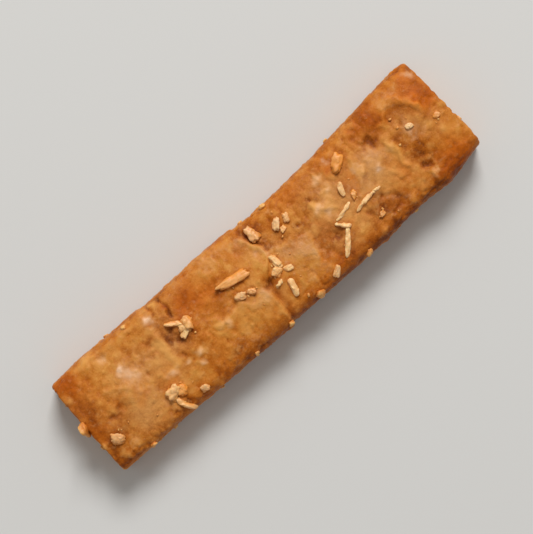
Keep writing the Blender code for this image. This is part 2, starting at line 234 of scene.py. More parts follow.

# How baked the crust is, and the painted shade and highlight that are added to it
BAKE_BASE = 0.32
AREA_BAKE = 0.8
SPOT_BAKE = 0.5
HEIGHT_SHADING = 1000  # painted highlight and shade: how much paler each metre of raised relief makes the crust, and darker each metre of hollow
END_HEIGHT_SHADING = 1200  # the same painted shading, stronger still on the cut ends
NAMED_HEIGHT_SHADING = 0.55  # share of the larger relief that counts towards the painted shading
BASE_BAKE = 0.25
SIDE_BAKE = -0.10
RIM_BAKE = 0.30
BASE_RIM = (0.0030, 0.0)
TOP_RIM = (0.62, 0.85)  # shares of the thickness
# Darker edges and ends: painted shade on the lower side and lower edge, which face away from the lamp, a
# darker upper edge and a browner left end: from where, to where, amount
LOWER_SIDE_SHADE = (0.0100, 0.0114, 0.35)
UPPER_SIDE = (0.0085, 0.0100, 0.12)
LOWER_EDGE_SHADE = (0.006, 0.011, 0.20)
LOWER_EDGE_SHADE_TINT = (0.0070, 0.0105, 0.25)
LEFT_END = (0.041, 0.0445, 0.12)
# Painted shade in the flap's crease and in the hollow in front of it: how far ahead of its edge, half
# width, amount
FLAP_CREASE_SHADE = ((0.0004, 0.0003, 0.30), (0.0010, 0.0011, 0.10))
# What keeps the paler colours away
LIT_BELOW = (0.55, 0.95)  # how baked
RUST_HIDES = 0.85
TAN_WHERE_DARK = 0.4
# The paler inside of the dough on the cut ends: heights from the base, and share of the thickness
INSIDE_FROM = (0.0006, 0.0022)
INSIDE_FADE = 0.0018
INSIDE_TOP = 0.88

# Wide areas of the crust, in millimetres: along, across, radius, how much more baked or paler
BAKE_AREAS = (
    (-44, 2, 3, 0.24), (-40, -3.6, 3, 0.18), (-38.5, 2, 2.4, 0.1), (-44.5, 8.5, 2.5, 0.2),
    (-40.5, 7, 3, 0.02), (-44, -8, 2.5, 0.15), (-34, 3, 4, -0.16), (-35.6, -3, 3, -0.16),
    (-30.5, 4.5, 2.6, 0.24), (-27.2, -2.4, 2.6, -0.26), (-30.5, -7.6, 2.2, -0.14),
    (-27.4, 7.6, 2.2, -0.14), (-23, 7.5, 2, 0.26), (-20.3, -1.8, 3.4, 0.3), (-14.4, -8.2, 2.8, 0.32),
    (-22, 2, 2.2, 0.25), (-14, 4.4, 3.6, 0.08), (-12.5, -1.2, 2.2, 0.12), (-10.5, -4.5, 4.2, -0.38),
    (-1.2, -6.5, 1.6, -0.24), (-6, 8, 4, -0.12), (0, 2, 2.6, -0.14), (1.5, 7.4, 3, 0.46),
    (5, 1, 2.6, 0.24), (9.2, 0.2, 2.4, 0.24), (-1.3, -2.6, 1.6, 0.16), (7, -2.6, 2.8, -0.18),
    (6.5, 7, 3.2, 0.12), (9, -5, 2.4, -0.34), (12.4, -3.2, 2.8, 0.2), (13.5, -8, 3, 0.04),
    (18.5, -5, 3.2, -0.2), (19.5, -9.5, 3, 0.14), (20.2, 7.6, 3, 0.38), (13.2, 3.4, 2.4, 0.12),
    (16.4, 0.8, 3, -0.06), (25.5, -7.2, 3.6, 0.36), (29.2, 3.4, 2.2, 0.16), (33, 1.5, 2, 0.12),
    (28, -2.4, 3.2, -0.2), (36, -5, 3, 0.28), (33, 8, 3.5, 0.26), (37, 4.5, 2.2, -0.04),
    (33.2, 4.6, 1.8, -0.14), (38, 0.4, 2.8, 0.28), (37, -8, 2, 0.12), (41.2, 2.6, 2.2, -0.22),
    (43.5, 4, 3.2, 0.24), (32.7, -4.6, 3, -0.18), (41.2, -7.4, 2.2, -0.1),
)
TAN_AREAS = (
    (-35, -3.5, 5, 0.55), (-33.5, 3.5, 3.4, 0.38), (-27, 1.5, 3.6, 0.5), (-22, 2, 2.4, 0.35),
    (5.5, 0.5, 3.2, 0.4), (12.4, -2.4, 2.8, 0.7), (16.2, 1, 3.8, 0.55), (-26.5, -3.5, 2.6, 0.4),
    (-5.5, -1.5, 2.2, 0.4), (-1.8, -5, 2.2, 0.5), (13.5, -7.5, 2.4, 0.55), (19, -4, 3.6, 0.6),
    (28.4, -2.3, 3.2, 0.55), (33, -5.5, 2.2, 0.3), (24.5, -6.5, 3, 0.35), (28.3, 1, 3.2, 0.45),
    (37.5, 2.5, 3.4, 0.4), (21.6, 0.2, 3, 0.6),
)
# Colour spots of the crust, in millimetres: along, across, radius, amount
PALE_SPOTS = (
    (-43, -7.7, 0.9, 0.5), (-45, -4, 0.8, 0.6), (-44.8, 6.8, 0.9, 0.5), (-37.3, 10.3, 1.4, 0.6),
    (-34, 8.6, 1.2, 0.5), (-36, 4.3, 1.3, 0.4), (-2.4, 7.1, 0.7, 0.5), (-20.5, 9.8, 0.9, 0.6),
    (-23, -3, 0.7, 0.5), (-20.3, -3.2, 0.8, 0.6), (-21.8, -5.2, 0.8, 0.5), (-25.5, -1.5, 1.2, 0.5),
    (-24.5, 0.5, 1.2, 0.4), (-24.7, 2.8, 1.2, 0.4), (-13, -2, 1.3, 0.4), (-10.7, -6.5, 1.2, 0.45),
    (11.4, -1.3, 0.9, 0.45), (13.9, 2.6, 0.9, 0.6), (14.9, 1.2, 0.9, 0.6), (16, 0.2, 1, 0.6),
    (17.2, -0.6, 0.9, 0.5), (18, 6, 1, 0.6), (17.7, 2.8, 1, 0.5), (25.8, 1.8, 1, 0.45),
    (32.6, 1, 0.9, 0.6), (24.3, -5.7, 0.9, 0.35), (32, -8.9, 1.4, 0.45), (42.3, -3.7, 1.1, 0.5),
    (41, -1, 0.9, 0.4), (35.8, -8.2, 0.9, 0.55),
)
# Pink spots: painted highlights, glints and sheen on the bumps of the crust
PAINTED_SHEEN_SPOTS = (
    (-33.4, 4.1, 0.85, 1.3), (-32.5, 2.3, 1.3, 0.55), (-24.1, 7.9, 0.8, 0.95), (-33.7, 1.5, 3, 0.16),
    (-26.8, -2.6, 1, 0.75), (-20.3, -3.2, 0.6, 0.8), (-23.4, -3.1, 0.55, 0.75),
    (-21.7, -5.2, 0.55, 0.7), (-34.2, 8.7, 0.8, 0.5), (-5, 8.5, 2.2, 0.15), (-1, 7, 1.5, 0.25),
    (-12.8, -2.1, 0.9, 0.45), (-3.6, -4, 1.2, 0.3), (-0.4, 3.3, 1, 0.5), (1.6, 2, 0.7, 0.5),
    (-8, 8.4, 1.8, 0.2), (7.2, -1.5, 2, 0.36), (8.9, -4.2, 1.8, 0.38), (5.5, 0.6, 1.4, 0.12),
    (14.5, 1.9, 0.8, 0.6), (15.9, 0.3, 0.9, 0.55), (17.8, 2.9, 0.7, 0.4), (17.9, 6, 0.8, 0.45),
    (21.3, 7, 1, 0.45), (27.6, 1.4, 1.9, 0.22), (28.8, -0.5, 0.8, 1), (25, 2.4, 0.8, 0.4),
    (37.9, 1.2, 1, 0.5), (37.4, -1, 0.8, 0.35), (35.9, -8.6, 0.9, 0.35), (44.6, 8.6, 0.7, 0.5),
)
# Dark spots: browner crust, with painted shade in the pits and under the toppings
DARK_AND_SHADED_SPOTS = (
    (-44, 2, 2.6, 0.5), (-43.5, -3, 2, 0.4), (-44.5, -7.5, 1.6, 0.5), (-22, 3.2, 1.1, 0.55),
    (-21, 1, 1, 0.6), (-18.5, 0.3, 1, 0.5), (-23.2, 2.5, 0.8, 0.4), (-22.5, -1.7, 0.7, 0.6),
    (-20.2, -8.3, 0.8, 0.6), (-30.5, -8.8, 0.7, 0.6), (-29.7, 0.4, 0.7, 0.3), (-26.3, 4.7, 0.8, 0.3),
    (-34.5, 9.8, 1, 0.5), (-27.5, -9, 1.2, 0.6), (-40, -2.2, 0.8, 0.4), (-13.5, -8.5, 2.2, 0.6),
    (-8, -8.5, 2, 0.4), (-10.2, 2.2, 0.9, 0.6), (-5.5, 1.2, 0.8, 0.6), (-1.3, -2.3, 1.1, 0.7),
    (3, -10, 1.2, 0.5), (2.5, 3, 0.9, 0.4), (1.2, 4.7, 0.7, 0.5), (0.8, 7, 0.6, 0.5),
    (13.9, -5.2, 0.8, 0.5), (12.3, -6, 1.8, 0.4), (17, -10, 2, 0.4), (25.5, -7.2, 2.6, 0.5),
    (22.5, -5.5, 1, 0.4), (29.5, 4.5, 1, 0.7), (31.5, 4, 1.2, 0.4), (33, 8.5, 2.2, 0.4),
    (35.8, -6.1, 0.9, 1), (36.5, -3.5, 1.6, 0.4), (37.5, 4.5, 1.8, 0.3), (41.8, 4, 0.8, 0.5),
    (41.5, 0.2, 0.9, 0.4), (40, -9.5, 2.2, 0.5), (-15, 7, 2.2, 0.35),
)
RUST_SPOTS = (
    (-43, 8, 3.6, 0.55), (-44.6, 0.5, 3, 0.45), (-14, 5, 3.8, 0.9), (-10, -4, 4, 0.2), (1.5, 8, 2, 0.3),
    (13, 7.5, 3, 0.35), (21, 8, 3, 0.35), (33, 8, 3.8, 0.6), (43.5, 5, 3.6, 0.7), (41, -8, 3.6, 0.75),
    (31, -5, 2.6, 0.3), (9.5, -7, 2.2, 0.35), (-38, 0.3, 1.2, 0.5), (-43, 9, 2.2, 0.6),
    (-31.5, -6.5, 0.9, 0.4), (-19.4, 7.5, 0.7, 0.7), (-12, 9.8, 1.2, 0.5), (20.5, 5, 0.9, 0.5),
    (24, 2.5, 1.2, 0.3), (33, 7.5, 2.5, 0.4), (42.5, 9, 2, 0.6), (42.5, 4, 2.5, 0.4),
    (41, -8.5, 2, 0.6), (31, -1.5, 1.5, 0.3), (38, -6.5, 1.5, 0.4), (9.5, -6, 1, 0.4),
)

# Toppings, in millimetres: along the bar, across it, length, width, turn in degrees, bend, warmth
SHREDS = (
    (22.9, -3.4, 6.6, 0.9, 5, -0.05, 0.45),
    (17.8, -2.3, 4.4, 0.9, 13, 0.04, 0.15),
    (14.5, -7.1, 5.8, 1.1, 46, 0.03, 0.25),
    (16, -4.1, 3.2, 1, -47, 0.05, 0.35),
    (20.3, 1.2, 2.9, 1.2, 68, -0.08, 0.4),
    (1.2, -6.3, 3.7, 1.45, 74, 0.03, 0.35),
    (-0.3, -4, 1.9, 0.9, 15, 0.08, 0.4),
    (-20.2, 4.1, 3.8, 1.1, -38, -0.03, 0.8),
    (-28.9, -8.8, 4.4, 1.1, -65, 0.1, 0.8),
)
# Seeds and lumps of cheese, in millimetres: along, across, length, width, turn in degrees, warmth
SEEDS = (
    (2.4, 6.6, 3.2, 2.3, 88, 0.7),
    (-42.6, -4.8, 2.8, 2.2, -35, 0.65),
    (-7.4, -0.9, 2.7, 1.8, -35, 0.55),
    (-5, -1.5, 1.9, 1.6, -60, 0.8),
    (6.9, 4.9, 2.7, 1.8, 55, 0.35),
    (9.1, 4.4, 1.9, 1.5, 70, 0.6),
    (-24, -9.1, 1.9, 1.6, -20, 0.5),
    (9.3, -9.9, 2.5, 1.4, 30, 0.3),
    (38, 1.1, 1.7, 1.4, 0, 0.05),
    (43, -0.8, 1.6, 1.1, 15, 1),
    (23, -7.6, 1.3, 1.1, 0, 0.9),
)
LUMPS = (
    (-28.9, -5.6, 2.9, 2.6, 10, 0.5),
    (-27.4, -6.1, 2.3, 1.9, 40, 0.95),
    (23.3, 5.2, 4.3, 2.4, 28, 1.1),
    (-18.2, 2.7, 2.8, 2.3, 60, 0.75),
    (-19.8, 1.4, 2, 1.5, 30, 0.35),
    (-19.1, 2.2, 2.2, 1.9, -20, 0.4),
    (1, -2, 2.3, 1.9, 20, 0.55),
    (2, -0.2, 2.7, 1.6, 85, 0.3),
    (1.9, -1.6, 1.5, 1.2, 0, 0.45),
    (2.9, -2.9, 2.1, 1.1, -20, 0.4),
    (7.2, 3.1, 1.4, 1.1, 10, 0.65),
    (21.5, -1.1, 1.9, 1.3, 85, 0.9),
    (-6.7, 2.7, 6.7, 2, -13, 0.9),
)
# Crumbs on the long edges and the ends, in millimetres: along, across, height, size
EDGE_CRUMBS = (
    (-46.6, 1, 8.2, 3.5), (-45.9, -4, 7.4, 1.3), (-38.7, -11.2, 8.4, 1.6), (-12.5, -11.6, 8.6, 1.4),
    (-4, -11.6, 8.8, 1.5), (4.1, -11.6, 9.2, 2.1), (16.2, -12.4, 8.6, 1.7), (-27.7, 10, 8.8, 1.3),
    (7.2, 9.3, 8.2, 1.4), (46, -4.2, 6.5, 1.3), (-31.5, 10.8, 4.6, 1.2), (24.6, 10.2, 5.2, 1.3),
    (2, 9.8, 3.4, 1.1), (-21.8, -10.8, 5.3, 1.1), (-33.6, -10.6, 3.8, 1.2), (28.5, -11.4, 4.4, 1.2),
    (45.9, 4.5, 4.5, 1.3), (-45.9, 7.1, 3.2, 1.5), (-45.9, -0.4, 5.6, 1.4),
)
# Shares of a topping's width: how thick it is, and how far its middle stands above the crust
TOPPING_DEPTH = 0.62
SHRED_LIFT = 0.20
SEED_LIFT = 0.12
# Shreds
SHRED_STEPS = 26
SHRED_AROUND = 12
SHRED_SMOOTHED = 2  # steps to each side over which it evens out the crust below
SHRED_PAST_BAR = 0.8  # how high it lies there, as a share of the thickness
SHRED_THIN = 0.4
SHRED_BLUNT = 14
SHRED_TIP = 0.25
SHRED_SQUARENESS = 0.35
SHRED_UNEVEN = 0.32
SHRED_LUMPS = 1.3 * MM
SHRED_GRAIN = 0.4 * MM
SHRED_GRAIN_SHARE = 0.4
SHRED_TWIST = 2.2
SHRED_TWIST_LENGTH = 2.0
SHRED_APART = 7.3  # how far apart in the noise the shreds are taken
# Chips: seeds, lumps and crumbs
BOX_SIDES = ((1, 0, 0), (-1, 0, 0), (0, 1, 0), (0, -1, 0), (0, 0, 1), (0, 0, -1))
BOX_REACH = (0.92, 1.05)
CHIP_PLANES = 8
PLANE_REACH = (0.62, 1.0)
CHIP_UNEVEN = 0.28
CHIP_UNEVEN_FINENESS = 2.4
CHIP_CRUMPLED = 0.15
CHIP_CRUMPLED_FINENESS = 5.5
CHIP_NOISE_REACH = 50
# Painted shading on the toppings: paler tops as painted highlight, warmer and deeper low down as painted
# shade; and the height where it turns
PAINTED_HEIGHT_SHADING = 1.3
PAINTED_SHADING_MIDDLE = 0.25
CHIP_FINENESS = 4
LUMP_SHARPNESS = 9
SEED_SHARPNESS = 6
CRUMB_FINENESS = 3
CRUMB_SHARPNESS = 8
CRUMB_FLATNESS = 0.85
CRUMB_WARMTH = (0.1, 0.7)
TOPPING_SEED = 21
# Fine crumbs strewn round the toppings: size in metres, spread and span in millimetres
FINE_CRUMBS = 44
FINE_CRUMB_SIZE = (0.00030, 0.00080)
FINE_CRUMB_SPREAD = 1.8
FINE_CRUMB_SPAN = (-10.5, 9.5)
FINE_CRUMB_LIFT = 0.15
FINE_CRUMB_WIDTH = (0.5, 0.9)
FINE_CRUMB_HEIGHT = 0.5
FINE_CRUMB_FINENESS = 2
FINE_CRUMB_WARMTH = (0.3, 1.0)
FINE_SEED = 4
# The crust round the toppings, in millimetres, metres and how much painted shade darkens it
CONTACT_WIDTH = 0.9
CONTACT_RISE = 0.00010
CONTACT_SHADE = 0.16

# Colours as displayed, from 0 to 255. The crust's go by how baked it is
BAKED_COLOURS = (
    (0.0, (212, 146, 66)),
    (0.30, (200, 123, 44)),
    (0.58, (178, 97, 20)),
    (0.82, (148, 74, 10)),
    (1.0, (116, 55, 6)),
)
FLECK_COLOUR = (220, 148, 74)
PALE_COLOUR = (228, 162, 84)
TAN_COLOURS = ((222, 158, 92), (140, 82, 34))
RUST_COLOURS = ((210, 106, 14), (136, 58, 2))
# Painted sheen, from a pink haze to whitish glints
PAINTED_SHEEN_COLOURS = ((230, 168, 108), (242, 194, 152))
INSIDE_COLOURS = ((238, 176, 106), (146, 74, 24))
TAN_SHARE = 0.80
RUST_SHARE = 0.92
INSIDE_SHARE = 0.8
# Toppings: cool, warm and deep colour, and roughness
CHEESE_LOOK = ((246, 200, 138), (232, 146, 52), (210, 130, 48), 0.40)
SEED_LOOK = ((244, 200, 144), (224, 142, 58), (206, 130, 54), 0.36)
CRUMB_LOOK = ((240, 190, 112), (214, 130, 48), (188, 106, 36), 0.45)
TOPPING_GLOW = {
    "Subsurface Weight": 0.35,
    "Subsurface Radius": (1.0, 0.75, 0.45),
    "Subsurface Scale": 0.0004,
    "Specular IOR Level": 0.4,
}
# Ranges: from, to, and the values that they are spread over
PALE_RANGE = (0.08, 0.80, 0.0, 0.85)
# The pink painted sheen: its share of the colour, and the specular level that rises with it
PAINTED_SHEEN_RANGE = (0.05, 0.95, 0.0, 0.90)
SHEEN_SPECULAR = (0.0, 0.8, 0.12, 0.45)
# Textures: size of the bumps, detail, roughness; then the range
MOTTLE = ((0.0016, 7.0, 0.68), (0.30, 0.70, -0.17, 0.17))
SPECKLE = ((0.00032, 3.0, 0.6), (0.30, 0.70, -0.12, 0.12))
FLECKS = ((0.0012, 3.0, 0.55), (0.56, 0.72, 0.0, 0.5))
BREAKS = ((0.0008, 4.0, 0.6), (0.30, 0.70, -0.15, 0.15))
GLOSS = ((0.0024, 3.0, 0.5), (0.3, 0.7, 0.28, 0.52))
DEEP_PATCHES = ((0.0008, 4.0, 0.6), (0.46, 0.72, 0.0, 0.5))
SKIN = (0.00028, 4.0, 0.65)
COARSE_SKIN = (0.0008, 3.0, 0.5)
TOPPING_SKIN = (0.00040, 4.0, 0.65)
# Bumps of the skins: strength, height
CRUST_BUMP = (0.8, 0.00014)
TOPPING_BUMP = (0.7, 0.00012)

# The view: straight down, with the bar turned as it lies in the photograph
BAR_TURN = math.radians(42.9)
VIEW_WIDTH = 0.101
LENS = 135.0
SENSOR = 36.0
# The stage
FLOOR_SIZE = 4.0
FLOOR_COLOUR = (212, 211, 208)
FLOOR_ROUGHNESS = 0.9
SKY_COLOUR = (1.0, 0.98, 0.95, 1.0)
SKY_STRENGTH = 0.36
LAMP_ELEVATION = math.radians(44)
LAMP_DISTANCE = 1.6
LAMP_SIZE = 0.62
LAMP_POWER = 22.5


def srgb(red, green, blue):
    """A colour as the shader takes it, from its 8-bit display values."""
    shares = np.array((red, green, blue)) / 255
    linear = np.where(shares <= 0.04045, shares / 12.92, ((shares + 0.055) / 1.055) ** 2.4)
    return (*linear.tolist(), 1.0)


def smooth_step(low, high, value):
    share = np.clip((value - low) / (high - low), 0.0, 1.0)
    return share * share * (3 - 2 * share)


def rising(value, low, high, amount):
    """The amount, set in as value goes from low to high."""
    return amount * smooth_step(low, high, value)


def wave(points, size):
    """Smooth noise from -1 to 1 at each point, with bumps of about the given size."""
    return np.array([noise.noise(Vector(point)) for point in points / size])


def waves(points, table):
    """The sum of smooth noises."""
    return sum(amount * wave(points + place, size) for place, size, amount in table)


def patches(points, place, size, low, high, amount):
    """The amount where a noise is high."""
    return rising(wave(points + place, size), low, high, amount)


def cut_places(low, high):
    """Places of even cuts along one axis."""
    cells = math.ceil((high - low) / COARSE_CELL)
    return np.linspace(low, high, cells + 1)[1:-1]


def fine_box():
    """A box on the ground of the bar's outer size, cut into fine cells."""
    box = bmesh.new()
    middle = Matrix.Translation((0, 0, THICKNESS / 2))
    bmesh.ops.create_cube(box, size=1.0, matrix=middle @ Matrix.Diagonal((LENGTH, WIDTH, THICKNESS, 1)))
    cuts = (
        cut_places(-LENGTH / 2, LENGTH / 2),
        cut_places(-WIDTH / 2, WIDTH / 2),
        cut_places(0.0, THICKNESS),
    )
    for axis, places in enumerate(cuts):
        normal = Vector((0, 0, 0))
        normal[axis] = 1.0
        for place in places:
            geometry = box.verts[:] + box.edges[:] + box.faces[:]
            bmesh.ops.bisect_plane(box, geom=geometry, plane_co=normal * place, plane_no=normal)
    bmesh.ops.subdivide_edges(box, edges=box.edges[:], cuts=SPLITS, use_grid_fill=True)
    return box


def rounded_section(y, z):
    """Moves points of the box's outline, with z from its middle, onto the one with rounded corners."""
    round_y = np.where(z > 0, TOP_ROUND_Y, BASE_ROUND_Y)
    round_z = np.where(z > 0, TOP_ROUND_Z, BASE_ROUND_Z)
    core_y = np.clip(y, round_y - WIDTH / 2, WIDTH / 2 - round_y)
    core_z = np.clip(z, round_z - THICKNESS / 2, THICKNESS / 2 - round_z)
    out_y = (y - core_y) / round_y
    out_z = (z - core_z) / round_z
    reach = np.maximum(np.hypot(out_y, out_z), TINY)
    return core_y + out_y / reach * round_y, core_z + out_z / reach * round_z


def rounded(points):
    """Moves points of the box's surface onto the box with rounded edges."""
    x, y, z = points.T
    z = z - THICKNESS / 2
    share = np.maximum(np.abs(y) / (WIDTH / 2), np.abs(z) / (THICKNESS / 2))
    share = np.maximum(share, TINY)
    outline_y, outline_z = rounded_section(y / share, z / share)
    round_share = END_ROUND / np.maximum(np.hypot(outline_y, outline_z), 2 * END_ROUND)
    core_x = LENGTH / 2 - END_ROUND
    beyond_x = np.maximum(np.abs(x) - core_x, 0) / END_ROUND
    beyond_share = np.maximum(share - (1 - round_share), 0) / round_share
    reach = np.maximum(np.hypot(beyond_x, beyond_share), TINY)
    x = np.sign(x) * (np.minimum(np.abs(x), core_x) + beyond_x / reach * END_ROUND)
    share = np.minimum(share, 1 - round_share) + beyond_share / reach * round_share
    return np.stack((x, outline_y * share, outline_z * share + THICKNESS / 2), axis=1)


def curve_at(points, x):
    """Heights at x of the smooth curve through points in millimetres."""
    places, heights = np.array(points).T * MM
    slopes = np.gradient(heights, places)
    i = np.clip(np.searchsorted(places, x) - 1, 0, len(places) - 2)
    step = places[i + 1] - places[i]
    t = (x - places[i]) / step
    start = (1 - t) ** 2 * ((1 + 2 * t) * heights[i] + t * step * slopes[i])
    end = t**2 * ((3 - 2 * t) * heights[i + 1] - (1 - t) * step * slopes[i + 1])
    return start + end


def crown(x, across):
    """Height of the top at x, where across goes from -1 to 1 over the width."""
    to_end = (LENGTH / 2 - np.abs(x)) / END_TAPER_LENGTH
    pressed = END_TAPER * (1 - smooth_step(0.0, 1.0, to_end))
    places = np.stack((x, across * WIDTH / 2, np.full_like(x, SWELL_PLACE)), axis=1)
    return THICKNESS * (1 - pressed) - DOME * across**2 + SWELL * wave(places, SWELL_LENGTH)


def shaped(points):
    """Moves points of the rounded box onto the uneven bar, between its two long edges."""
    x, y, z = points.T
    across = 2 * y / WIDTH
    upper = curve_at(UPPER_EDGE, x)
    lower = curve_at(LOWER_EDGE, x)
    places = np.stack((x, np.copysign(EDGE_PLACE, y), np.zeros_like(x)), axis=1)
    edge_wave = EDGE_WAVE * wave(places, EDGE_WAVE_LENGTH)
    return np.stack((
        x * (1 - END_SKEW * across),
        (upper + lower) / 2 + across * ((upper - lower) / 2 + edge_wave),
        z / THICKNESS * crown(x, across),
    ), axis=1)


def step_down(ahead, fade):
    """1 just behind an edge and 0 ahead of it, sinking away behind it over the length fade."""
    over_edge = smooth_step(-STEP_WIDTH / 2, STEP_WIDTH / 2, ahead)
    return (1 - over_edge) * np.exp(np.minimum(ahead, 0) / fade)


def ahead_of_flap(x, y):
    """How far a place is past the flap's edge, along the bar."""
    lobe_width = np.where(y < LOBE_Y, LOBE_WIDTHS[0], LOBE_WIDTHS[1])
    lobe = LOBE_REACH * np.exp(-(((y - LOBE_Y) / lobe_width) ** 2))
    return x - (FLAP_X + FLAP_SLANT * y + lobe)


def flap_strength(y):
    return 1 - (1 - FLAP_WEAKENED) * smooth_step(*FLAP_WEAKENS, y)


def groove_strength(y):
    return 1 - (1 - GROOVE_WEAKENED) * smooth_step(*GROOVE_WEAKENS, y)


def flap_relief(x, y):
    """The step of the flap: raised behind its edge, with a groove in front of it."""
    ahead = ahead_of_flap(x, y)
    groove = np.exp(-(((ahead - GROOVE_AHEAD) / GROOVE_WIDTH) ** 2))
    step = FLAP_STEP * flap_strength(y) * step_down(ahead, FLAP_FADE)
    return step - GROOVE_DEPTH * groove_strength(y) * groove


def fold_relief(x, y):
    """The lower step of the fold, strongest at +Y."""
    places = np.stack((np.zeros_like(y), y, np.full_like(y, FOLD_PLACE)), axis=1)
    ahead = x - FOLD_X - FOLD_WANDER * wave(places, FOLD_WANDER_LENGTH)
    return smooth_step(*FOLD_START, y) * FOLD_STEP * step_down(ahead, FOLD_FADE)


def spots(x, y, table):
    """The sum of soft round spots."""
    total = np.zeros_like(x)
    for along, across, radius, amount in table:
        apart = np.hypot(x - along * MM, y - across * MM) / (radius * MM)
        total += amount * np.exp(-(apart**2))
    return total


def to_line(x, y, line):
    """Distance to a line through points in millimetres."""
    nearest = np.full_like(x, np.inf)
    for start, end in zip(line, line[1:]):
        start_x, start_y = np.array(start) * MM
        run_x, run_y = (np.array(end) - np.array(start)) * MM
        share = ((x - start_x) * run_x + (y - start_y) * run_y) / (run_x**2 + run_y**2)
        share = np.clip(share, 0, 1)
        apart = np.hypot(x - start_x - share * run_x, y - start_y - share * run_y)
        nearest = np.minimum(nearest, apart)
    return nearest


def wandered(points):
    """Places along and across the bar, moved a little, so that marks drawn there look grown."""
    return points[:, 0] + waves(points, WANDER_ALONG), points[:, 1] + waves(points, WANDER_ACROSS)


def lines(x, y, table):
    """The sum of soft lines."""
    total = np.zeros_like(x)
    for line, half_width, amount in table:
        total += amount * np.exp(-((to_line(x, y, line) / (half_width * MM)) ** 2))
    return total


def near_toppings(x, y):
    """1 under the toppings' edges, falling to 0 a little way off."""
    nearest = np.full_like(x, np.inf)
    for along, across, length, width, turn, *_ in SHREDS + SEEDS + LUMPS:
        angle = math.radians(turn)
        half = np.array((math.cos(angle), math.sin(angle))) * (length - width) / 2
        middle = np.array((along, across))
        nearest = np.minimum(nearest, to_line(x, y, (middle - half, middle + half)) / MM - width / 2)
    return 1 - smooth_step(0.0, CONTACT_WIDTH, nearest)


def valley_relief(x, y):
    """The hollow in front of the flap, whose far side rises slowly."""
    ahead = ahead_of_flap(x, y)
    fall = smooth_step(-STEP_WIDTH / 2, STEP_WIDTH / 2, ahead)
    return -VALLEY_DEPTH * groove_strength(y) * fall * np.exp(-np.maximum(ahead, 0) / VALLEY_LENGTH)


def slab_relief(x, y):
    """The raised slab of the flap, with a lit edge towards +Y."""
    ahead = y - curve_at(SLAB_EDGE, np.clip(x, SLAB_EDGE[0][0] * MM, SLAB_EDGE[-1][0] * MM))
    over_edge = smooth_step(-SLAB_STEP_WIDTH / 2, SLAB_STEP_WIDTH / 2, ahead)
    behind_flap = 1 - smooth_step(-STEP_WIDTH / 2, STEP_WIDTH / 2, ahead_of_flap(x, y))
    slab = (1 - over_edge) * np.exp(np.minimum(ahead, 0) / SLAB_FADE)
    return SLAB_STEP * slab * behind_flap * smooth_step(*SLAB_SPAN, x)


def arc_relief(x, y):
    """The sharp far edge of one blister."""
    from_x = x - ARC_CENTRE[0] * MM
    from_y = y - ARC_CENTRE[1] * MM
    apart = np.hypot(from_x, from_y)
    to_right = smooth_step(*ARC_SPAN, from_x / np.maximum(apart, TINY))
    return ARC_STEP * to_right * step_down(apart - ARC_RADIUS * MM, ARC_FADE)


def scatter_relief(points, centres, radii, heights):
    """Small domes and pores round centres on the surface."""
    total = np.zeros(len(points))
    order = np.argsort(points[:, 0])
    sorted_x = points[order, 0]
    for centre, radius, height in zip(centres, radii, heights):
        first, last = np.searchsorted(sorted_x, (centre[0] - radius, centre[0] + radius))
        near = order[first:last]
        apart = np.linalg.norm(points[near] - centre, axis=1) / radius
        total[near] += height * np.where(apart < 1, (1 - np.minimum(apart, 1) ** 2) ** 2, 0)
    return total


def scattered(points, among, scatter, draw):
    """The relief of a number of bumps or pores, round points drawn from those listed in among."""
    count, radius_from, radius_to, height_from, height_to = scatter
    centres = points[draw.choice(among, count)]
    radii = draw.uniform(radius_from, radius_to, count) * MM
    heights = draw.uniform(height_from, height_to, count) * MM
    return scatter_relief(points, centres, radii, heights)


def wrinkle_relief(points):
    """Fine winding wrinkles of the dried skin, with soft ridges and narrow valleys."""
    warp = waves(points, WARP)[:, None] * (1.0, 1.0, 0.0)
    places = (points + warp) * (1.0, 1 / WRINKLE_STRETCH, 1.0)
    valleys = np.abs(wave(places + WRINKLE_PLACE, WRINKLE_SIZE))
    strength = patches(points, *WRINKLED)
    return -WRINKLES * strength * (1 - smooth_step(0.0, WRINKLE_WIDTH, valleys))


def vertex_normals(mesh):
    normals = np.empty(len(mesh.vertices) * 3, np.float32)
    mesh.vertex_normals.foreach_get("vector", normals)
    return normals.reshape(-1, 3).astype(float)


def put_points(mesh, points):
    mesh.vertices.foreach_set("co", points.astype(np.float32).ravel())
    mesh.update()


def put_attribute(mesh, name, values):
    attribute = mesh.attributes.new(name, "FLOAT", "POINT")
    attribute.data.foreach_set("value", np.asarray(values, np.float32))


